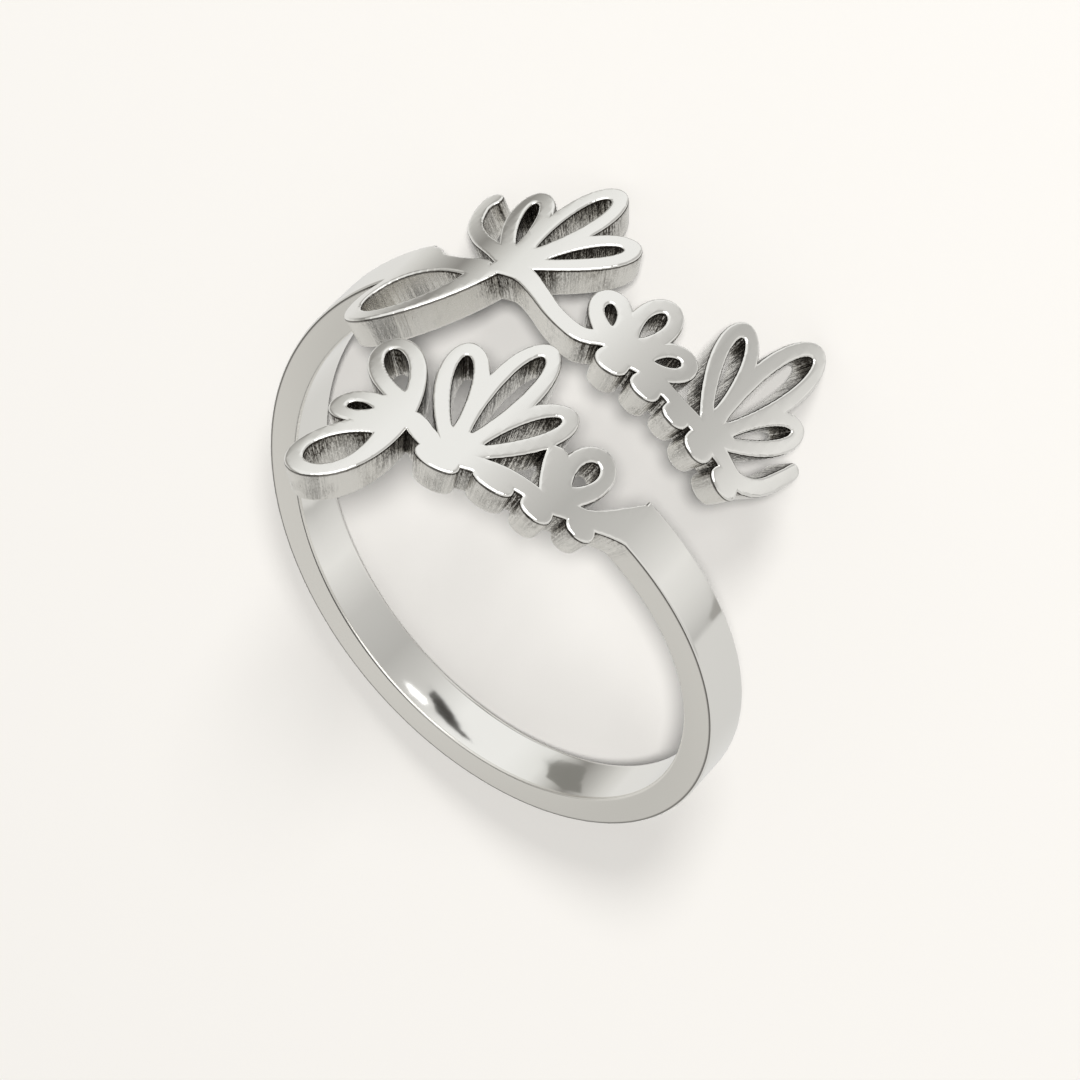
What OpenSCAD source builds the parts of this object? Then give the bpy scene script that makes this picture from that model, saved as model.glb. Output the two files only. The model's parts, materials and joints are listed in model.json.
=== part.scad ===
// A polished silver bypass ring, cut as one flat blank from sheet and rolled round the finger.
// The narrow band climbs a little along the finger, so its two ends lie side by side.
// Each end runs into an openwork scroll: a wavy stem with fans of pierced petals behind it and
// solid lobes along its front edge.
// A place on the blank is [degrees round the finger, mm along the finger]. The scrolls lie
// round 28 degrees, and the middle of the band is at 180 degrees and 0 mm.
// The ring is modelled as it rests on its side, on two petal tips and the band's back edge,
// with its lowest point at height 0.

/* [Ring] */
// Inner diameter of the finger hole, a US size 7
hole_d = 17.3; // [16.9:0.1:17.7]
// Thickness of the sheet that the blank is cut from
sheet_t = 1.08; // [1:0.02:1.16]

/* [Band] */
// Width of the band, measured along the finger
band_w = 1.9; // [1.8:0.05:2]
// How far the band climbs along the finger in one full turn
band_climb = 6.77; // [6.7:0.01:6.85]
// Where the band meets the front scroll, in degrees
band_from = 49; // [48.5:0.5:50]
// Where the band meets the back scroll, in degrees
band_to = 335; // [334:0.5:336]

/* [Scrolls] */
// How far the two tall petals of the back scroll reach, the ring rests on their tips
tall_mm = 8.15; // [8:0.05:8.3]
// Width of the metal round a petal's hole
petal_rim = 0.64; // [0.6:0.01:0.68]

/* [Hidden] */

ri = hole_d / 2;
ro = ri + sheet_t;
mm_per_deg = ro * PI / 180;
// Longest step between two sections of a stem
stem_step = 0.34;
// Sections of a petal, from its base to its tip
petal_steps = 20;
// Angle between two sections of the band
band_step = 8;
// How far a shape stands out of the sheet before the sheet's two faces trim it
spare = 0.4;
// Each shape stands out a little more than the one before it, so that no two faces coincide
spare_step = 0.03;
// What a cutter stands out by, more than any shape
cutter_spare = 1.2;

// Stems, a row for each bend: [degrees, mm, width]
BACK_SHOULDER = [[-31, 2.8, 1.8], [-25.5, 2.93, 1.8], [-20.5, 2.75, 1.1], [-15, 2.75, 0.7], [-9, 2.8, 0.7]];
TENDRIL = [[-3, 3.1, 0.8], [-9, 3.65, 0.68], [-15, 4.2, 0.6], [-20, 5, 0.56], [-22.6, 6, 0.62],
           [-22.4, 6.5, 0.86]];
BACK_STEM = [[-5, 3, 0.86], [0, 2.9, 0.76], [5, 2.45, 0.66], [10, 1.95, 0.62], [14.5, 1.68, 0.64],
             [18.3, 1.64, 0.68], [22, 2, 0.64], [26, 1.95, 0.7], [31, 2.05, 0.68], [37, 1.97, 0.62],
             [42, 1.92, 0.66], [48, 1.95, 0.7], [53, 1.95, 0.68], [58.5, 1.92, 0.68], [62.8, 2.6, 0.64],
             [65.2, 3.7, 0.6], [66, 4.3, 0.56]];
FRONT_STEM = [[0, -4.85, 0.8], [6, -4.85, 0.8], [10.5, -5.2, 0.8], [16, -5.4, 0.78], [21, -5.15, 0.7],
              [26, -4.85, 0.72], [31, -4.68, 0.7], [35, -4.62, 0.7], [39, -4.2, 0.7], [42.5, -3.92, 0.72],
              [46, -3.38, 0.92], [49, -2.87, 1.3], [52, -2.42, 1.8]];
BUD = [[36.4, -4.6, 0.56], [33.4, -4.15, 0.5], [31.2, -3.4, 0.56], [31, -2.95, 0.84]];

// Fans of petals: [base degrees, base mm, turn, [[lean, length, half width], ...]]
// A lean of 0 points to the back of the ring, and a positive one leans to higher degrees.
LEFT_FAN = [-4, 2.9, 12, [[0, (tall_mm - 2.9) / cos(12), 1.05], [-31, 4.4, 0.9], [32, 4.5, 0.92],
                          [-133, 5.55, 1.75]]];
MIDDLE_FAN = [26, 1.5, 3, [[0, 3.45, 0.9], [-40, 2.95, 0.84], [40, 2.95, 0.84]]];
RIGHT_FAN = [48, 1.6, 8, [[0, (tall_mm - 1.6) / cos(8), 1.05], [-25, 5, 0.92], [22, 4.6, 0.86]]];
BACK_FANS = [LEFT_FAN, MIDDLE_FAN, RIGHT_FAN];
FRONT_FANS = [[16.5, -5.6, -1, [[0, 6.2, 1.02], [-25, 5.3, 0.95], [25, 4.9, 0.92]]],
              [6, -4.8, -98, [[0, 2.9, 0.86], [53, 4.4, 1.02], [-52, 4.3, 1.35]]],
              [36, -4.8, 5, [[0, 3.35, 0.95]]]];

// Solid lobes along the front edges of the stems: [base degrees, base mm, turn, length, half width]
BACK_LOBES = [[25.8, 2.3, 180, 1.35, 0.68], [33.8, 2.25, 182, 1.2, 0.64], [41.2, 2.2, 178, 1.05, 0.58],
              [48.5, 2.3, 180, 1.35, 0.66], [56.8, 2.15, 177, 1.15, 0.7]];
FRONT_LOBES = [[15.2, -4.95, 181, 1.25, 0.9], [25.4, -4.58, 175, 1.08, 0.82], [34.6, -4.25, 176, 1.2, 0.66],
               [42.2, -3.6, 168, 1.15, 0.6]];

// Sections are pairs of outline points, on the two sides of a path.
function unit(v) = v / norm(v);
function side(dir) = [-dir.y, dir.x];
function section(at, dir, half) = [at + side(dir) * half, at - side(dir) * half];
function reversed(list) = [for (i = [len(list) - 1 : -1 : 0]) list[i]];

// Points along a smooth curve through the rows of a stem, each with its width
function flat_row(row) = [row[0] * mm_per_deg, row[1], row[2]];
function row_at(rows, i) = rows[max(0, min(len(rows) - 1, i))];
function between(p, q, r, s, t) =
    0.5 * (2 * q + (r - p) * t + (2 * p - 5 * q + 4 * r - s) * t ^ 2 + (3 * q - p - 3 * r + s) * t ^ 3);
function steps_to(p, q) = max(2, ceil(norm([q.x - p.x, q.y - p.y]) / stem_step));
function curve_points(rows) = [
    for (i = [0 : len(rows) - 2])
        for (k = [0 : steps_to(rows[i], rows[i + 1]) - 1])
            between(row_at(rows, i - 1), rows[i], rows[i + 1], row_at(rows, i + 2),
                    k / steps_to(rows[i], rows[i + 1])),
    rows[len(rows) - 1]];
function heading(points, i) =
    let (p = row_at(points, i - 1), q = row_at(points, i + 1)) unit([q.x - p.x, q.y - p.y]);

// The round end of a stem, from the stem outwards
function round_end(p, dir) = [
    for (u = [65, 40, 15]) section([p.x, p.y] + dir * p.z / 2 * cos(u), dir, p.z / 2 * sin(u))];
function stem_sections(rows) =
    let (points = curve_points([for (row = rows) flat_row(row)]), last = len(points) - 1)
    concat([for (s = reversed(round_end(points[0], -heading(points, 0)))) [s[1], s[0]]],
           [for (i = [0 : last]) section([points[i].x, points[i].y], heading(points, i), points[i].z / 2)],
           round_end(points[last], heading(points, last)));

// A petal is narrow at its base and round at its tip. Its hole is the same form, inset by the rim.
function petal_sections(fan, petal, inset) =
    let (lean = fan[2] + petal[0], dir = [sin(lean), cos(lean)],
         foot = [fan[0] * mm_per_deg, fan[1]] + dir * 2.2 * inset,
         long = petal[1] - 3.2 * inset, half = 1.12 * (petal[2] - inset))
    [for (k = [0 : petal_steps])
        let (u = min(max(180 * k / petal_steps, 3), 177))
        section(foot + dir * long * (1 - cos(u)) / 2, dir, half * sin(u) * sin(u / 2) ^ 0.8)];

// The band is a straight strip of the blank that climbs as it goes round.
function band_mid(deg) = band_climb * (deg - 180) / 360;
function band_section(deg) =
    [[deg * mm_per_deg, band_mid(deg) + band_w / 2], [deg * mm_per_deg, band_mid(deg) - band_w / 2]];
function band_sections() =
    let (steps = ceil((band_to - band_from) / band_step))
    [for (k = [0 : steps]) band_section(band_from + (band_to - band_from) * k / steps)];

// How the ring rests: turned so that its tall petals face the front, then tilted until the band
// touches the table behind them
function tip_deg(fan) = fan[0] + fan[3][0][1] * sin(fan[2]) / mm_per_deg;
turn = (tip_deg(LEFT_FAN) + tip_deg(RIGHT_FAN)) / 2;
tips_reach = ri * cos((tip_deg(RIGHT_FAN) - tip_deg(LEFT_FAN)) / 2);
tilt = min([for (deg = [turn + 90 : turn + 270])
    atan((tall_mm - band_mid(deg) - band_w / 2) / (tips_reach - ro * cos(deg - turn)))]);
function forward(p, r) = r * cos(p.x / mm_per_deg - turn);
function resting_y(p) = -forward(p, ro) * cos(tilt) - p.y * sin(tilt);
function resting_z(p) = min(forward(p, ri), forward(p, ro)) * sin(tilt) - p.y * cos(tilt);
outline = [for (s = band_sections()) each s,
           for (fan = BACK_FANS, petal = fan[3], s = petal_sections(fan, petal, 0)) each s];
outline_y = [for (p = outline) resting_y(p)];
middle_y = (min(outline_y) + max(outline_y)) / 2;
lowest_z = min([for (p = outline) resting_z(p)]);

// Rolls a point of the blank on to the ring, at a radius
function rolled(p, r) = let (deg = p.x / mm_per_deg) [-r * sin(deg), -r * cos(deg), -p.y];

// A solid between two radii, with the outline that the sections give
module rolled_shape(sections, out) {
    n = len(sections);
    hi = ro + spare + out;
    lo = ri - spare - out;
    points = [for (s = sections)
        each [rolled(s[0], hi), rolled(s[1], hi), rolled(s[1], lo), rolled(s[0], lo)]];
    walls = [for (i = [0 : n - 2], k = [0 : 3])
        let (a = 4 * i + k, b = 4 * i + (k + 1) % 4) each [[b, a, b + 4], [b + 4, a, a + 4]]];
    end = 4 * n - 4;
    polyhedron(points, concat([[0, 1, 2], [0, 2, 3]], walls,
                              [[end + 1, end, end + 2], [end + 2, end, end + 3]]));
}

module petals(fan, inset, out)
    for (i = [0 : len(fan[3]) - 1])
        rolled_shape(petal_sections(fan, fan[3][i], inset), out + i * spare_step);

module stems(list, out)
    for (i = [0 : len(list) - 1]) rolled_shape(stem_sections(list[i]), out + i * spare_step);

module lobes(list, out)
    for (i = [0 : len(list) - 1])
        rolled_shape(petal_sections(list[i], [0, list[i][3], list[i][4]], 0), out + i * spare_step);

module band() rolled_shape(band_sections(), 0);

module back_scroll() {
    stems([BACK_SHOULDER, TENDRIL, BACK_STEM], spare_step);
    for (i = [0 : len(BACK_FANS) - 1]) petals(BACK_FANS[i], 0, (4 + 4 * i) * spare_step);
    lobes(BACK_LOBES, 16 * spare_step);
}

module front_scroll() {
    stems([FRONT_STEM, BUD], spare_step);
    for (i = [0 : len(FRONT_FANS) - 1]) petals(FRONT_FANS[i], 0, (4 + 4 * i) * spare_step);
    lobes(FRONT_LOBES, 16 * spare_step);
}

// The sheet, rolled to a tube as long as the scrolls
module rolled_sheet() {
    difference() {
        cylinder(r = ro, h = 2 * hole_d, center = true, $fn = 180);
        cylinder(r = ri, h = 2 * hole_d + 1, center = true, $fn = 180);
    }
}

module ring() color("silver") {
    translate([0, -middle_y, -lowest_z]) rotate([-tilt, 0, 0]) rotate([0, 0, turn]) {
        intersection() {
            difference() {
                union() {
                    band();
                    back_scroll();
                    front_scroll();
                }
                for (fan = concat(BACK_FANS, FRONT_FANS)) petals(fan, petal_rim, cutter_spare);
            }
            rolled_sheet();
        }
    }
}

ring();
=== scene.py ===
# %% [markdown]
# # A polished silver ring with two pierced scrolls
# The real ring starts as a flat blank: a long strip with an openwork scroll at each end, cut by a
# laser from silver sheet. The cut edges are softened by tumbling, the blank is rolled round a mandrel,
# and its two faces are polished. This lesson dresses the ring in the same order: it takes the flat
# outline from the model, rounds the edges while everything is still flat, and rolls it up last.

# %% Load the ring
import json
import math
import bmesh
import bpy
import numpy as np
from mathutils import Matrix, Vector
from mathutils.bvhtree import BVHTree


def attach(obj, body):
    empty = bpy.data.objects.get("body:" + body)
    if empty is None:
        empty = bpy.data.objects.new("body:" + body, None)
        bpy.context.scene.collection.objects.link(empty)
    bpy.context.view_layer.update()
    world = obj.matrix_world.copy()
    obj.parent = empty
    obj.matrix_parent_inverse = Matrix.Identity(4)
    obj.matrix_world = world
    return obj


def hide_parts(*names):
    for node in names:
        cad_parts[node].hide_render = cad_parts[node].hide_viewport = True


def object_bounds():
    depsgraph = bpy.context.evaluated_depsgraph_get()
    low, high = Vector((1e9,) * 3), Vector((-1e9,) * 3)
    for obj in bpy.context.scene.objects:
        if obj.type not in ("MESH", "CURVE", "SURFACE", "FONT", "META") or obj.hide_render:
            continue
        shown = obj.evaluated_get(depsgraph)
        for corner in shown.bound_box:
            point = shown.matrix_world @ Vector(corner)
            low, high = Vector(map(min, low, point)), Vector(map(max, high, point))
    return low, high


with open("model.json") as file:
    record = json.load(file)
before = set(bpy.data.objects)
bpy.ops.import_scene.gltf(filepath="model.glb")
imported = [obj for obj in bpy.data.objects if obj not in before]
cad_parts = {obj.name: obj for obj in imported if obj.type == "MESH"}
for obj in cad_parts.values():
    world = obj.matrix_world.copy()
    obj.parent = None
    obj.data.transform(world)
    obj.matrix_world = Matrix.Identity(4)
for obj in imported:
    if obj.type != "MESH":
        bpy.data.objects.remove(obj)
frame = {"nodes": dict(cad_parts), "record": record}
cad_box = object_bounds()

MM = 0.001
ring_node = frame["nodes"]["ring"]
print("size of the ring, mm:", [round(side / MM, 2) for side in cad_box[1] - cad_box[0]])

# %% [markdown]
# ## Where a place on the blank lies on the ring
# The ring lies on its side, so its finger hole leans. The hole's centre and axis are in the ring's
# record. A place on the blank is a distance round the ring, a distance along the finger and a height
# above the outer face. The distance round the ring is measured on the outer face, from the middle of
# the scrolls.

# %% The finger hole
hole = frame["record"]["mounts"][0]
hole_middle = np.array(hole["pos_m"])
finger_way = np.array(hole["axis"]) / np.linalg.norm(hole["axis"])
INNER_R = hole["dims"]["r_mm"] * MM
SHEET = 1.08 * MM
OUTER_R = INNER_R + SHEET

cross_way = np.array([-1.0, 0.0, 0.0])
front_way = np.cross(finger_way, cross_way)
print("finger hole, mm across:", round(2 * INNER_R / MM, 2), " sheet, mm:", round(SHEET / MM, 2))

# %% [markdown]
# One scroll lies above the other as the ring rests, so they overlap in angle. The lower one therefore
# counts as a full turn further on, which keeps the blank in one piece when it is laid flat. A line
# between the scrolls tells them apart. Up to STEP_ANGLE it lies above the middle, so that the whole
# band is below it. From there on it lies below the middle, because the petals of the upper scroll
# reach down past that, and it ends at LAST_ANGLE, where the upper scroll has run into the band.

# %% Lay flat and roll up
STEP_ANGLE = math.radians(-34)
LAST_ANGLE = math.radians(60)
LINE_LEFT = 0.75 * MM
LINE_RIGHT = -1.02 * MM


def lay_flat(points):
    """Places on the ring become places on the blank: round, along and above the outer face."""
    offset = points - hole_middle
    along = offset @ finger_way
    across, front = offset @ cross_way, offset @ front_way
    angle = np.arctan2(across, front)
    line = np.where(angle < STEP_ANGLE, LINE_LEFT, LINE_RIGHT)
    angle = np.where((along < line) & (angle < LAST_ANGLE), angle + 2 * math.pi, angle)
    return np.stack([angle * OUTER_R, -along, np.hypot(across, front) - OUTER_R], axis=1)


def roll_up(places):
    """The reverse of lay_flat."""
    angle, radius = places[:, 0] / OUTER_R, places[:, 2] + OUTER_R
    return (hole_middle + np.outer(radius * np.sin(angle), cross_way)
            + np.outer(radius * np.cos(angle), front_way) - np.outer(places[:, 1], finger_way))


def roll_normals(normals, places):
    """Turns directions on the blank with the places that they belong to."""
    angle, radius = places[:, 0] / OUTER_R, places[:, 2] + OUTER_R
    round_way = np.outer(np.cos(angle), cross_way) - np.outer(np.sin(angle), front_way)
    outward = np.outer(np.sin(angle), cross_way) + np.outer(np.cos(angle), front_way)
    turned = (round_way * (normals[:, 0] * OUTER_R / radius)[:, None]
              - np.outer(normals[:, 1], finger_way) + outward * normals[:, 2:])
    return turned / np.linalg.norm(turned, axis=1)[:, None]


# %% [markdown]
# ## The outline of the blank
# A copy of the model is laid flat. Its outer face is all that is needed, and of that only the outline:
# the edge of the strip and the edge of every hole. The flat work is done with one unit to the
# millimetre, because the tools round very small sizes off.

# %% Helpers for meshes
def points_of(mesh):
    flat = np.empty(3 * len(mesh.vertices))
    mesh.vertices.foreach_get("co", flat)
    return flat.reshape(-1, 3)


def place_points(mesh, points):
    mesh.vertices.foreach_set("co", points.ravel())
    mesh.update()


def take(piece):
    """Selects one piece alone and makes it active."""
    bpy.ops.object.select_all(action="DESELECT")
    piece.select_set(True)
    bpy.context.view_layer.objects.active = piece


def edit(piece, select_mode):
    """Opens a mesh for editing, its points, edges or faces selectable, and keeps what is selected."""
    take(piece)
    modes = [select_mode == kind for kind in ("VERT", "EDGE", "FACE")]
    bpy.context.tool_settings.mesh_select_mode = modes
    bpy.ops.object.mode_set(mode="EDIT")


def done():
    bpy.ops.object.mode_set(mode="OBJECT")


# %% Lay a copy flat and keep its outer face
# Points closer than SAME, in mm, are one point. A face of the outer side has no point deeper than NEAR.
SAME = 0.001
NEAR = 0.02

blank = ring_node.copy()
blank.data = ring_node.data.copy()
blank.name = blank.data.name = "silver_ring"
bpy.context.collection.objects.link(blank)
place_points(blank.data, lay_flat(points_of(blank.data)) / MM)

edit(blank, "VERT")
bpy.ops.mesh.select_all(action="SELECT")
bpy.ops.mesh.remove_doubles(threshold=SAME)
bpy.ops.mesh.select_all(action="DESELECT")
done()
heights = points_of(blank.data)[:, 2]
for face in blank.data.polygons:
    face.select = bool(min(heights[list(face.vertices)]) < -NEAR)
edit(blank, "FACE")
bpy.ops.mesh.delete(type="FACE")

# %% Keep the outline alone
# The blank is still open for editing
bpy.ops.mesh.select_mode(type="EDGE")
bpy.ops.mesh.select_all(action="SELECT")
bpy.ops.mesh.region_to_loop()
bpy.ops.mesh.select_all(action="INVERT")
bpy.ops.mesh.delete(type="EDGE")
bpy.ops.mesh.select_all(action="SELECT")
bpy.ops.mesh.delete(type="ONLY_FACE")
bpy.ops.mesh.select_mode(type="VERT")
bpy.ops.mesh.select_all(action="SELECT")
bpy.ops.mesh.delete_loose(use_verts=True, use_edges=False, use_faces=False)
done()
outline = points_of(blank.data)
outline[:, 2] = 0
place_points(blank.data, outline)
print("points in the outline:", len(outline))

# %% [markdown]
# Where two shapes of the model cross, the outline has points that lie very close together or in one
# line. They would show as ripples in polished metal, so they are merged and dissolved first. What is
# left of an edge that ends in the open is taken away from its end.

# %% Clean the outline
SHORTEST = 0.008
STRAIGHT = math.radians(3)

edit(blank, "VERT")
bpy.ops.mesh.select_all(action="SELECT")
bpy.ops.mesh.remove_doubles(threshold=SHORTEST)
bpy.ops.mesh.dissolve_limited(angle_limit=STRAIGHT)
outline_mesh = bmesh.from_edit_mesh(blank.data)
loose_ends = [v for v in outline_mesh.verts if len(v.link_edges) < 2]
while loose_ends:
    bmesh.ops.delete(outline_mesh, geom=loose_ends, context="VERTS")
    loose_ends = [v for v in outline_mesh.verts if len(v.link_edges) < 2]
print("points left:", len(outline_mesh.verts))
done()

# %% [markdown]
# ## A drawn outline
# As a flat curve the outline can be filled, given a thickness and rounded along every edge in one
# step. Gentle bends become smooth arcs, and sharp corners and long straight stretches stay as they are.

# %% Make the outline a smooth curve
CORNER = math.radians(40)
LONG = 0.7
NO_LENGTH = 1e-6

take(blank)
bpy.ops.object.convert(target="CURVE")
drawing = blank.data
drawing.dimensions = "2D"
for spline in drawing.splines:
    spline.use_cyclic_u = True
bpy.ops.object.mode_set(mode="EDIT")
bpy.ops.curve.select_all(action="SELECT")
bpy.ops.curve.spline_type_set(type="BEZIER")
bpy.ops.object.mode_set(mode="OBJECT")
for spline in drawing.splines:
    knots = spline.bezier_points
    for i, knot in enumerate(knots):
        before = knot.co - knots[i - 1].co
        after = knots[(i + 1) % len(knots)].co - knot.co
        no_bend = min(before.length, after.length) < NO_LENGTH
        sharp = no_bend or before.angle(after) > CORNER
        straight = max(before.length, after.length) > LONG
        knot.handle_left_type = knot.handle_right_type = "VECTOR" if sharp or straight else "AUTO"
print("closed lines in the drawing:", len(drawing.splines))

# %% [markdown]
# Tumbling rounds a laser-cut edge by about a tenth of a millimetre. That narrow rounding, RIM, is what
# draws a bright line round every shape. A curve's bevel grows outwards, so an offset of the same size
# takes it back to the outline.

# %% Fill, thicken and round the blank
RIM = 0.1

drawing.resolution_u = 2
drawing.fill_mode = "BOTH"
drawing.extrude = SHEET / MM / 2 - RIM
drawing.bevel_depth = RIM
drawing.bevel_resolution = 2
drawing.offset = -RIM
take(blank)
bpy.ops.object.convert(target="MESH")
edit(blank, "VERT")
bpy.ops.mesh.select_all(action="SELECT")
bpy.ops.mesh.remove_doubles(threshold=0.1 * SAME)
bpy.ops.mesh.normals_make_consistent(inside=False)
bpy.ops.mesh.select_all(action="DESELECT")
bpy.ops.mesh.select_non_manifold()
done()
open_edges = sum(e.select for e in blank.data.edges)
print("flat blank:", len(blank.data.polygons), "faces,", open_edges, "open edges")
place_points(blank.data, points_of(blank.data) - [0, 0, SHEET / MM / 2])

# %% [markdown]
# ## Cuts across the blank
# Metal that is rolled bends everywhere, so the blank first gets a cut across it every degree and a
# half. The shading directions are worked out while the blank is flat, where its faces are truly flat,
# and turned with it later. A mirror-bright ring shows the smallest error in them as a dent. Edges that
# turn by more than SOFT stay sharp, which keeps the corners of the outline crisp.

# %% Cut across and shade
CUT_ANGLE = 1.5
SOFT = math.radians(38)

places = points_of(blank.data)
step = math.radians(CUT_ANGLE) * OUTER_R / MM
cuts = np.arange(math.ceil(places[:, 0].min() / step), math.floor(places[:, 0].max() / step) + 1)
edit(blank, "VERT")
for cut in cuts:
    bpy.ops.mesh.select_all(action="SELECT")
    bpy.ops.mesh.bisect(plane_co=(cut * step, 0, 0), plane_no=(1, 0, 0))
done()
take(blank)
bpy.ops.object.shade_smooth_by_angle(angle=SOFT)
shading = blank.modifiers.new("even shading", "WEIGHTED_NORMAL")
shading.keep_sharp = True
bpy.ops.object.modifier_apply(modifier=shading.name)

# %% Keep the flat places, the shading directions and what each face is
# A cut face is nearer to upright than to flat. All of the inner rounding counts as cut as well: only
# the inner face itself points inwards by more than FLAT.
UPRIGHT = 0.5
FLAT = 0.98

mesh = blank.data
places = points_of(mesh) * MM
corner_points = np.empty(len(mesh.loops), dtype=int)
mesh.loops.foreach_get("vertex_index", corner_points)
normals = np.empty(3 * len(mesh.loops))
mesh.corner_normals.foreach_get("vector", normals)
normals = normals.reshape(-1, 3)
cut_faces = [abs(face.normal.z) < UPRIGHT for face in mesh.polygons]
inner_rims = [face.center.z < -SHEET / MM / 2 and face.normal.z > -FLAT for face in mesh.polygons]
mesh.calc_loop_triangles()
print("blank, cut across:", len(mesh.polygons), "faces,", len(mesh.loop_triangles), "triangles")

# %% [markdown]
# ## Nooks
# A polishing mop and tumbling media clean an open edge well, but not the inside of a small hole or a
# notch, where the grey film that the laser leaves stays on, and where shade falls as well. While the
# blank is flat, a fan of rays from each bit of cut edge measures how close the metal opposite is: 0 in
# the open, and near 1 deep in a notch. The material reads the result later and darkens the colour
# with it: partly film, partly painted shade.

# %% Measure how deep in a nook each bit of edge lies
REACH = 1.5
FAN = [math.radians(deg) for deg in (-70, -47, -23, 0, 23, 47, 70)]
CLEAR = 0.02

blocks = BVHTree.FromPolygons([v.co for v in mesh.vertices], [list(f.vertices) for f in mesh.polygons])
measured = {}
total, count = np.zeros(len(mesh.vertices)), np.zeros(len(mesh.vertices))
for face, cut in zip(mesh.polygons, cut_faces):
    if not cut:
        continue
    spot = (round(face.center.x, 2), round(face.center.y, 2))
    if spot not in measured:
        out = Vector((face.normal.x, face.normal.y, 0)).normalized()
        start = Vector((face.center.x, face.center.y, -SHEET / MM / 2)) + out * CLEAR
        closeness = 0
        for turn in FAN:
            distance = blocks.ray_cast(start, Matrix.Rotation(turn, 3, "Z") @ out, REACH)[3]
            closeness += 0 if distance is None else 1 - distance / REACH
        measured[spot] = closeness / len(FAN)
    corners = list(face.vertices)
    total[corners] += measured[spot]
    count[corners] += 1
nooks = total / np.maximum(count, 1)
print("places measured:", len(measured), " deepest:", round(nooks.max(), 2))

# %% [markdown]
# ## Rolling it up
# Each point keeps its place on the blank as an attribute, in mm, so that the patterns of the materials
# follow the metal round the ring as the marks of real tools do.

# %% Roll it up
place_points(mesh, roll_up(places))
mesh.normals_split_custom_set(roll_normals(normals, places[corner_points]))
flat_place = mesh.attributes.new("blank_place", "FLOAT_VECTOR", "POINT")
flat_place.data.foreach_set("vector", (places / MM).ravel())
mesh.attributes.new("nook", "FLOAT", "POINT").data.foreach_set("value", nooks)
blank_ends = [round(end / MM, 1) for end in (places[:, 0].min(), places[:, 0].max())]
print("the blank runs from and to, in mm on the outer face:", blank_ends)

# %% [markdown]
# ## Polished silver
# Sterling silver is nearly white and reflects about as much as any metal can. The two faces are
# polished on a mop, which leaves a mirror that is very slightly soft and wavy. The eye sees the room in
# it as smooth bands of grey, and the waves, about a millimetre apart, keep them from looking ruled.

# %% Helpers for the materials
def linear(code):
    """An sRGB hex colour as linear red, green, blue and alpha."""
    channels = [int(code[i:i + 2], 16) / 255 for i in (1, 3, 5)]
    return [c / 12.92 if c <= 0.04045 else ((c + 0.055) / 1.055) ** 2.4 for c in channels] + [1.0]


def add_node(tree, kind, settings=(), links=()):
    """Adds a node. Settings are its own properties or input values, links go from outputs to inputs."""
    node = tree.nodes.new(kind)
    for name, value in dict(settings).items():
        if isinstance(name, str) and hasattr(node, name):
            setattr(node, name, value)
        else:
            node.inputs[name].default_value = value
    for name, output in dict(links).items():
        tree.links.new(output, node.inputs[name])
    return node


def new_metal(name, code, roughness):
    material = bpy.data.materials.new(name)
    material.use_nodes = True
    shader = material.node_tree.nodes["Principled BSDF"]
    shader.inputs["Base Color"].default_value = linear(code)
    shader.inputs["Metallic"].default_value = 1.0
    shader.inputs["Roughness"].default_value = roughness
    return material, material.node_tree, shader


# %% Polished silver
CLOUDS_PER_MM = 0.9
WAVE_HEIGHT = 0.002 * MM

polished, tree, shader = new_metal("polished_sterling_silver", "#F7F6F3", 0.1)
place = add_node(tree, "ShaderNodeAttribute", {"attribute_name": "blank_place"})
cloud = add_node(tree, "ShaderNodeTexNoise", {"Scale": CLOUDS_PER_MM, "Detail": 2.0},
                 {"Vector": place.outputs["Vector"]})
haze = add_node(tree, "ShaderNodeMapRange", {"To Min": 0.04, "To Max": 0.09},
                {"Value": cloud.outputs["Fac"]})
wave = add_node(tree, "ShaderNodeBump", {"Strength": 1.0, "Distance": WAVE_HEIGHT},
                {"Height": cloud.outputs["Fac"]})
tree.links.new(haze.outputs["Result"], shader.inputs["Roughness"])
tree.links.new(wave.outputs["Normal"], shader.inputs["Normal"])
print("polished silver:", len(tree.nodes), "nodes")

# %% [markdown]
# ## Laser-cut silver
# A laser melts its way through the sheet and leaves fine ridges that run straight through the metal,
# about 0.06 mm apart. Tumbling brightens them to a satin grey. The eye sees light walls with upright
# streaks, which turn dark and mottled in the nooks and near the outer face: partly the film that stays
# on there, and partly painted shade, darkening painted into the colour where shade falls. A thin dark
# line under the bright rim is painted as well, partly burr and partly a painted dark reflection. The
# band's own edge was ground smooth, so both the ridges and the painted film and shade fade out where a
# scroll ends.

# %% Where the scrolls are
# The band runs from 49 to 335 degrees, and the middle of the scrolls, where the blank's own measure
# starts, is at 28. The marks of the laser and the painted shade fade out over FADE mm round the band's ends.
SCROLL_MIDDLE = 28
BAND_FROM, BAND_TO = [math.radians(deg - SCROLL_MIDDLE) * OUTER_R / MM for deg in (49, 335)]
BAND_MIDDLE, BAND_HALF = (BAND_FROM + BAND_TO) / 2, (BAND_TO - BAND_FROM) / 2
FADE = (-2.0, 0.5)

cut_edge, tree, shader = new_metal("laser_cut_sterling_silver", "#E6E4DF", 0.26)
place = add_node(tree, "ShaderNodeAttribute", {"attribute_name": "blank_place"})
nook = add_node(tree, "ShaderNodeAttribute", {"attribute_name": "nook"})
measures = add_node(tree, "ShaderNodeSeparateXYZ", {}, {"Vector": place.outputs["Vector"]})
from_middle = add_node(tree, "ShaderNodeMath", {"operation": "SUBTRACT", 1: BAND_MIDDLE},
                       {0: measures.outputs["X"]})
away = add_node(tree, "ShaderNodeMath", {"operation": "ABSOLUTE"}, {0: from_middle.outputs["Value"]})
on_scroll = add_node(tree, "ShaderNodeMapRange",
                     {"From Min": BAND_HALF + FADE[0], "From Max": BAND_HALF + FADE[1]},
                     {"Value": away.outputs["Value"]})

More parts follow.
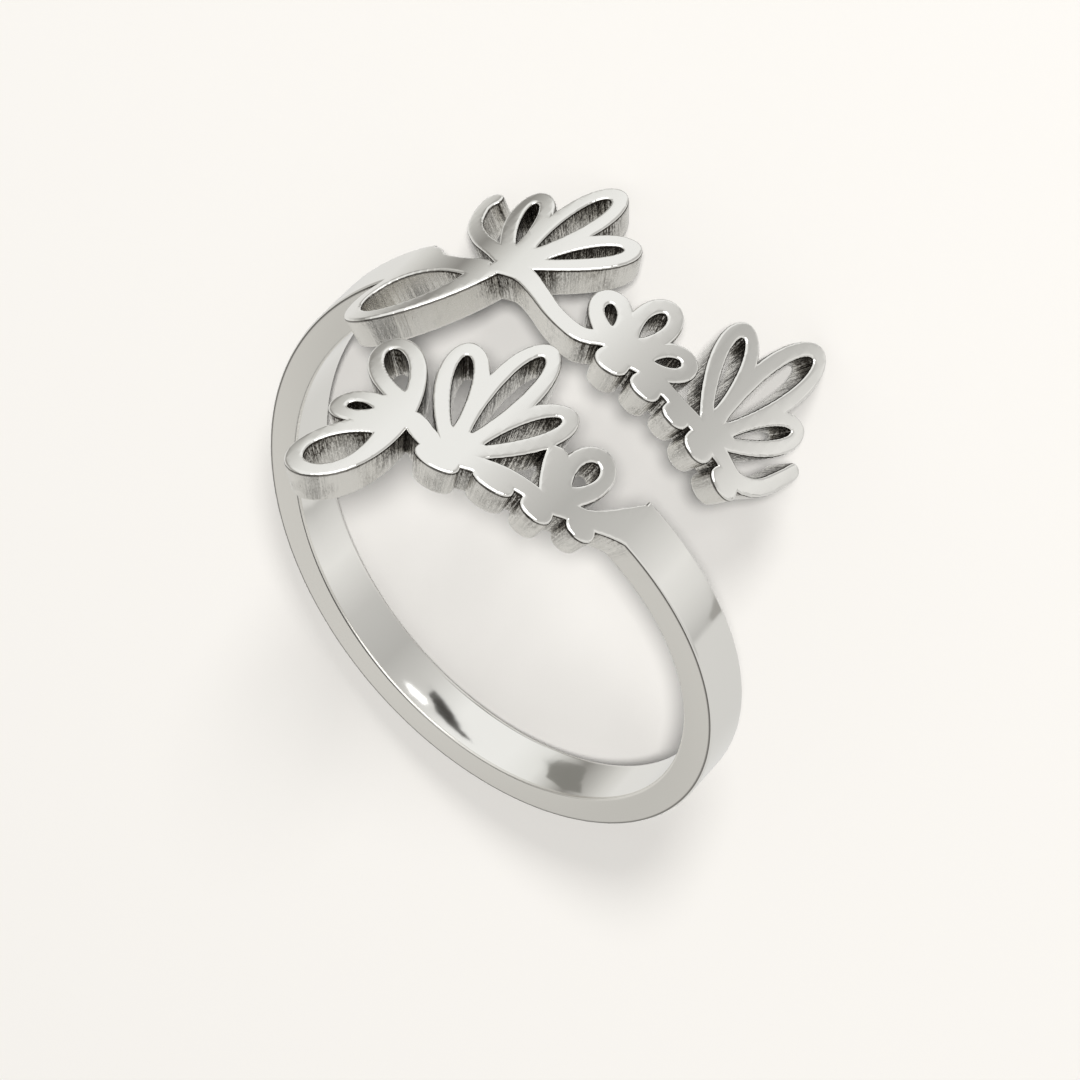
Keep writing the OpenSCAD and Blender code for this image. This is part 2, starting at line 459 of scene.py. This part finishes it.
# %% Ridges, speckles and patches
# How many there are to the millimetre: round the ring, along the finger and through the sheet
RIDGES_PER_MM = (17.0, 17.0, 0.7)
SPECKLES_PER_MM = (20.0, 20.0, 9.0)
PATCHES_PER_MM = 0.9

ridge_place = add_node(tree, "ShaderNodeMapping", {"Scale": RIDGES_PER_MM},
                       {"Vector": place.outputs["Vector"]})
ridges = add_node(tree, "ShaderNodeTexNoise", {"Scale": 1.0, "Detail": 4.0, "Roughness": 0.65},
                  {"Vector": ridge_place.outputs["Vector"]})
speckle_place = add_node(tree, "ShaderNodeMapping", {"Scale": SPECKLES_PER_MM},
                         {"Vector": place.outputs["Vector"]})
speckles = add_node(tree, "ShaderNodeTexNoise", {"Scale": 1.0, "Detail": 3.0, "Roughness": 0.7},
                    {"Vector": speckle_place.outputs["Vector"]})
grain = add_node(tree, "ShaderNodeMath", {"operation": "ADD"},
                 {0: ridges.outputs["Fac"], 1: speckles.outputs["Fac"]})
patches = add_node(tree, "ShaderNodeTexNoise", {"Scale": PATCHES_PER_MM, "Detail": 2.0},
                   {"Vector": place.outputs["Vector"]})
patchy = add_node(tree, "ShaderNodeMapRange",
                  {"From Min": 0.5, "From Max": 0.66, "To Min": 0.02, "To Max": 0.5},
                  {"Value": patches.outputs["Fac"]})

# %% Film and painted shade, burr and painted dark line
# The film and the painted shade are darkest in a nook and towards the outer face, and the burr and
# painted dark line starts 0.09 to 0.13 mm below that face
NOOK_FILM_AND_SHADE = 2.3
BURR_AND_PAINTED_LINE_DEPTH = (-0.13, -0.09)
BURR_AND_PAINTED_LINE_TONE = 0.75

upper = add_node(tree, "ShaderNodeMapRange",
                 {"From Min": -SHEET / MM, "From Max": 0.0, "To Min": 0.4, "To Max": 1.6},
                 {"Value": measures.outputs["Z"]})
# Painted shade: the colour is darkened in nooks, on top of the film that stays on there
nook_film_and_shade = add_node(tree, "ShaderNodeMath", {"operation": "MULTIPLY_ADD", 1: NOOK_FILM_AND_SHADE},
                   {0: nook.outputs["Fac"], 2: patchy.outputs["Result"]})
# Film and painted shade both grow darker towards the outer face
film_and_shade = add_node(tree, "ShaderNodeMath", {"operation": "MULTIPLY"},
                {0: nook_film_and_shade.outputs["Value"], 1: upper.outputs["Result"]})
scroll_film_and_shade = add_node(tree, "ShaderNodeMath", {"operation": "MULTIPLY"},
                       {0: film_and_shade.outputs["Value"], 1: on_scroll.outputs["Result"]})
contrast = add_node(tree, "ShaderNodeMapRange", {"From Min": 0.85, "From Max": 1.15},
                    {"Value": grain.outputs["Value"]})
# A painted dark line under the bright rim: partly burr, partly a painted dark reflection
burr_and_painted_line = add_node(tree, "ShaderNodeMapRange",
                {"From Min": BURR_AND_PAINTED_LINE_DEPTH[0], "From Max": BURR_AND_PAINTED_LINE_DEPTH[1], "To Min": 0.0, "To Max": BURR_AND_PAINTED_LINE_TONE},
                {"Value": measures.outputs["Z"]})
# Film, painted shade and the painted dark line under the rim, summed into one darkening
stain_and_shade = add_node(tree, "ShaderNodeMath", {"operation": "MULTIPLY_ADD", "use_clamp": True},
                 {0: scroll_film_and_shade.outputs["Value"], 1: contrast.outputs["Result"], 2: burr_and_painted_line.outputs["Result"]})

# %% Colour, roughness and bump of the cut
# The dark tone stands for film and for painted shade
CLEAN_TONE, FILM_AND_SHADE_TONE = "#EDEBE6", "#4B4640"
RIDGE_HEIGHT = 0.016 * MM

tint = add_node(tree, "ShaderNodeValToRGB", {}, {"Fac": stain_and_shade.outputs["Value"]})
tint.color_ramp.elements[0].color = linear(CLEAN_TONE)
tint.color_ramp.elements[1].color = linear(FILM_AND_SHADE_TONE)
dull = add_node(tree, "ShaderNodeMapRange", {"To Min": 0.24, "To Max": 0.42},
                {"Value": stain_and_shade.outputs["Value"]})
rough_here = add_node(tree, "ShaderNodeMapRange", {"To Min": 0.06, "To Max": 0.6},
                      {"Value": on_scroll.outputs["Result"]})
bump = add_node(tree, "ShaderNodeBump", {"Distance": RIDGE_HEIGHT},
                {"Height": grain.outputs["Value"], "Strength": rough_here.outputs["Result"]})
tree.links.new(tint.outputs["Color"], shader.inputs["Base Color"])
tree.links.new(dull.outputs["Result"], shader.inputs["Roughness"])
tree.links.new(bump.outputs["Normal"], shader.inputs["Normal"])
print("laser-cut silver:", len(tree.nodes), "nodes")

# %% Give each face its finish
# The outer rounding is polished with the outer face, all but its steepest part, and the inner one is
# left as it was cut
mesh.materials.clear()
mesh.materials.append(polished)
mesh.materials.append(cut_edge)
finishes = [int(cut or rim) for cut, rim in zip(cut_faces, inner_rims)]
mesh.polygons.foreach_set("material_index", finishes)
print("polished faces:", finishes.count(0), " laser-cut faces:", finishes.count(1))

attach(blank, "root")
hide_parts("ring")

# %% [markdown]
# ## Floor
# The ring lies on matt white paper, wide enough that no view sees its edge. The silver doesn't mirror
# the paper: its whole surroundings are the light tent of the next step, whose tones are under control
# all round.

# %% Floor
FLOOR_R = 6

bpy.ops.object.select_all(action="DESELECT")
bpy.ops.mesh.primitive_circle_add(vertices=96, radius=FLOOR_R, fill_type="NGON", location=(0, 0, 0))
floor = bpy.context.object
floor.name = "floor"
paper = bpy.data.materials.new("matte_white_paper")
paper.use_nodes = True
paper_shader = paper.node_tree.nodes["Principled BSDF"]
paper_shader.inputs["Base Color"].default_value = linear("#EDEAE5")
paper_shader.inputs["Roughness"].default_value = 0.9
paper_shader.inputs["Specular IOR Level"].default_value = 0.0
floor.data.materials.append(paper)
floor.visible_glossy = False
print("floor, m across:", 2 * FLOOR_R)

# %% [markdown]
# ## Light tent
# A polished ring shows nothing but its surroundings, so jewellery is photographed in a tent of white
# cloth whose folds and gaps give the metal its bands of grey. Here the tent is the world's background:
# a gradient that runs round the finger, as the band does, so each row of TENT sets the tone of one
# stretch of the band. The tones started from how bright the photograph's band is at each place, and
# were then changed until they matched it.

# %% Tones round the finger: [degrees, sRGB grey]
TENT = [
    [0, "#F2F2F0"], [20, "#D2D1CE"], [40, "#B8B7B4"], [64, "#C6C5C2"], [88, "#EAE9E6"],
    [100, "#E0DFDC"], [109, "#D2D1CE"], [116.5, "#BEBDBA"], [119, "#D9D8D5"], [170, "#D6D5D2"],
    [198, "#DFDEDB"], [206, "#DAD9D6"], [213, "#C8C7C4"], [218, "#CBCAC7"], [224, "#DBDAD7"],
    [240, "#E2E1DE"], [262, "#E4E3E0"], [272, "#D4D3CF"], [294, "#8E8C88"], [304, "#C4C3BF"],
    [314, "#E8E8E5"], [330, "#F2F2F0"],
]
TENT_TURN = 8

world = bpy.data.worlds.new("light_tent")
bpy.context.scene.world = world
world.use_nodes = True
tree = world.node_tree
tree.nodes.clear()
way = add_node(tree, "ShaderNodeTexCoord")
ease = math.radians(TENT_TURN)
tent_front = front_way * math.cos(ease) + cross_way * math.sin(ease)
tent_axes = Matrix([tent_front, np.cross(tent_front, finger_way), -finger_way])
turned = add_node(tree, "ShaderNodeMapping",
                  {"vector_type": "POINT", "Rotation": tent_axes.to_euler("XYZ")},
                  {"Vector": way.outputs["Generated"]})
sweep = add_node(tree, "ShaderNodeTexGradient", {"gradient_type": "RADIAL"},
                 {"Vector": turned.outputs["Vector"]})
ramp = add_node(tree, "ShaderNodeValToRGB", {}, {"Fac": sweep.outputs["Fac"]})
stops = sorted(((deg - SCROLL_MIDDLE - TENT_TURN + 180) % 360 / 360, code) for deg, code in TENT)
for i, (at, code) in enumerate(stops):
    stop = ramp.color_ramp.elements[i] if i < 2 else ramp.color_ramp.elements.new(at)
    stop.position = at
    stop.color = linear(code)
print("tones in the tent:", len(stops))

# %% [markdown]
# Black flags darken two parts of the tent. The cap, straight above the finger hole, gives each rounded
# rim the thin dark line beside its bright one. Two patches lie to either side of what the upper walls
# mirror, and give their ridges dark streaks. Each flag is a product of fades, and each fade runs from 0
# to 1 between two values of one part of the direction: X towards the front, Z down the finger, and
# side, which is how far it leans to either side.

# %% Flags in the tent
CAP = [["Z", -0.86, -0.92], ["side", 0.42, 0.3]]
PATCHES_BESIDE = [["side", 0.32, 0.4], ["side", 0.6, 0.48], ["Z", -0.5, -0.6], ["X", 0.0, -0.2]]
FLAG_LIGHT = 0.1

parts = add_node(tree, "ShaderNodeSeparateXYZ", {}, {"Vector": turned.outputs["Vector"]})
sideways = add_node(tree, "ShaderNodeMath", {"operation": "ABSOLUTE"}, {0: parts.outputs["Y"]})
part_of_way = {"X": parts.outputs["X"], "Z": parts.outputs["Z"], "side": sideways.outputs["Value"]}
dark = []
for fades in (CAP, PATCHES_BESIDE):
    edges = []
    for part, start, end in fades:
        edge = add_node(tree, "ShaderNodeMapRange",
                        {"interpolation_type": "SMOOTHSTEP", "From Min": start, "From Max": end},
                        {"Value": part_of_way[part]})
        edges.append(edge.outputs["Result"])
    inside = edges[0]
    for edge in edges[1:]:
        product = add_node(tree, "ShaderNodeMath", {"operation": "MULTIPLY"}, {0: inside, 1: edge})
        inside = product.outputs["Value"]
    dark.append(inside)
flags = add_node(tree, "ShaderNodeMath", {"operation": "MAXIMUM"}, {0: dark[0], 1: dark[1]})
light_left = add_node(tree, "ShaderNodeMapRange", {"To Min": 1.0, "To Max": FLAG_LIGHT},
                      {"Value": flags.outputs["Value"]})
tent = add_node(tree, "ShaderNodeBackground", {},
                {"Color": ramp.outputs["Color"], "Strength": light_left.outputs["Result"]})
print("flags in the tent:", len(dark))

# %% [markdown]
# The tent is seen in the silver alone. The paper gets a weaker white room, brighter overhead, and the
# camera sees a plain backdrop past the paper's edge.

# %% What the silver, the paper and the camera see of it
ROOM_LIGHT = (0.05, 0.3)

height = add_node(tree, "ShaderNodeSeparateXYZ", {}, {"Vector": way.outputs["Generated"]})
steep = add_node(tree, "ShaderNodeMath", {"operation": "ABSOLUTE"}, {0: height.outputs["Z"]})
overhead = add_node(tree, "ShaderNodeMapRange", {"To Min": ROOM_LIGHT[0], "To Max": ROOM_LIGHT[1]},
                    {"Value": steep.outputs["Value"]})
room = add_node(tree, "ShaderNodeBackground", {"Color": linear("#FFFFFF")},
                {"Strength": overhead.outputs["Result"]})
backdrop = add_node(tree, "ShaderNodeBackground", {"Color": linear("#F9F6F1"), "Strength": 1.0})
seen = add_node(tree, "ShaderNodeLightPath")
off_paper = add_node(tree, "ShaderNodeMath", {"operation": "LESS_THAN", 1: 0.5},
                     {0: seen.outputs["Diffuse Depth"]})
in_silver = add_node(tree, "ShaderNodeMath", {"operation": "MULTIPLY"},
                     {0: seen.outputs["Is Glossy Ray"], 1: off_paper.outputs["Value"]})
mirrored = add_node(tree, "ShaderNodeMixShader", {},
                    {0: in_silver.outputs["Value"], 1: room.outputs["Background"],
                     2: tent.outputs["Background"]})
either = add_node(tree, "ShaderNodeMixShader", {},
                  {0: seen.outputs["Is Camera Ray"], 1: mirrored.outputs["Shader"],
                   2: backdrop.outputs["Background"]})
add_node(tree, "ShaderNodeOutputWorld", {}, {"Surface": either.outputs["Shader"]})
print("nodes in the world:", len(tree.nodes))

# %% [markdown]
# ## Softboxes
# The large softbox in front is seen in the silver alone and whitens the tops that face it. The second
# one throws the ring's soft shadow on the paper. The small third one stands behind the camera, so that
# its shadows hide under the ring, and keeps the paper white.

# %% Softboxes: [azimuth, elevation, size m, watts, seen in the silver]
SOFTBOXES = [
    [5, 36, 1.1, 4.5, True],
    [4, 38, 0.25, 4.5, False],
    [-11.9, 58, 0.1, 7.6, False],
]
SOFTBOX_DISTANCE = 1.0


def toward(azimuth, elevation):
    """The direction at an azimuth, where 0 is -Y and 90 is +X, and an elevation above the floor."""
    a, e = math.radians(azimuth), math.radians(elevation)
    return Vector((math.sin(a) * math.cos(e), -math.cos(a) * math.cos(e), math.sin(e)))


middle = (cad_box[0] + cad_box[1]) / 2
for azimuth, elevation, size, watts, mirrored_in_silver in SOFTBOXES:
    lamp = bpy.data.lights.new("softbox", "AREA")
    lamp.shape = "DISK"
    lamp.size = size
    lamp.energy = watts
    softbox = bpy.data.objects.new("softbox", lamp)
    bpy.context.collection.objects.link(softbox)
    way_in = toward(azimuth, elevation)
    softbox.location = middle + way_in * SOFTBOX_DISTANCE
    softbox.rotation_euler = way_in.to_track_quat("Z", "Y").to_euler()
    softbox.visible_glossy = mirrored_in_silver
    softbox.visible_diffuse = not mirrored_in_silver
print("softboxes:", len(SOFTBOXES), " watts in all:", sum(row[3] for row in SOFTBOXES))

# %% [markdown]
# ## Cards
# The flags and the white card of a jewellery shot are small and close, so that each shows in one place
# of the band alone. They lie UNDER the paper, in mm, where only the silver sees them. Their corners
# weren't designed here. Another script worked them out, from places read by eye in the photograph and
# mirrored in the band, and they were then rounded and changed a little by trial.

# %% Cards: [name, sRGB tone, brightness, corners in mm]
CARDS = [
    ["black_flag_inside", "#3C3A37", 1.0,
     [[0.95, 1.6], [0.75, 2.7], [1.1, 2.4], [1.4, 2.1], [1.85, 1.6], [2.2, 1.9], [2.3, 1.2], [2.0, 0.55],
      [1.6, 0.4], [1.35, 0.9]]],
    ["grey_flag_inside", "#85847F", 1.0,
     [[-0.4, 5.3], [-2.0, 5.9], [-1.2, 6.2], [-0.9, 6.5], [0.0, 6.0], [0.4, 5.3]]],
    ["white_card_inside", "#FFFFFF", 1.6,
     [[0.62, -0.3], [0.66, 0.45], [1.08, 0.82], [1.33, 0.35], [1.42, -0.42], [0.95, -0.9]]],
    ["grey_flag_outside", "#A3A19D", 1.0,
     [[-17.3, -8.2], [-19.6, -8.2], [-19.9, -9.0], [-19.3, -10.4], [-19.2, -13.0], [-18.9, -17.0],
      [-16.8, -17.0]]],
]
UNDER = -0.4

for name, tone, brightness, corners in CARDS:
    bpy.ops.object.select_all(action="DESELECT")
    bpy.ops.mesh.primitive_circle_add(vertices=len(corners), fill_type="NGON")
    card = bpy.context.object
    card.name = name
    place_points(card.data, np.array([[x, y, UNDER] for x, y in corners]) * MM)
    surface = bpy.data.materials.new(name)
    surface.use_nodes = True
    tree = surface.node_tree
    tree.nodes.clear()
    glow = add_node(tree, "ShaderNodeEmission", {"Color": linear(tone), "Strength": brightness})
    add_node(tree, "ShaderNodeOutputMaterial", {}, {"Surface": glow.outputs["Emission"]})
    card.data.materials.append(surface)
    card.visible_camera = card.visible_diffuse = card.visible_shadow = card.visible_transmission = False
print("cards:", len(CARDS))

# %% [markdown]
# ## Camera
# The ring is photographed from steeply above with a long lens, and the camera is rolled so that the
# band runs from the upper left to the lower right.

# %% Camera
TARGET = Vector((-0.66, -0.15, 4.19)) * MM
CAMERA_AZIMUTH, CAMERA_ELEVATION, CAMERA_ROLL = -11.9107, 58.0385, -130.875
CAMERA_DISTANCE = 162.93 * MM

camera_data = bpy.data.cameras.new("camera")
camera_data.lens = 166.74
camera_data.sensor_width = 36
camera_data.clip_end = 100
camera = bpy.data.objects.new("camera", camera_data)
bpy.context.collection.objects.link(camera)
way_out = toward(CAMERA_AZIMUTH, CAMERA_ELEVATION)
camera.location = TARGET + way_out * CAMERA_DISTANCE
roll = Matrix.Rotation(math.radians(CAMERA_ROLL), 3, "Z")
camera.rotation_euler = (way_out.to_track_quat("Z", "Y").to_matrix() @ roll).to_euler()
bpy.context.scene.camera = camera
bpy.context.scene.view_settings.view_transform = "Standard"
print("camera, mm from the ring:", round(CAMERA_DISTANCE / MM, 1))
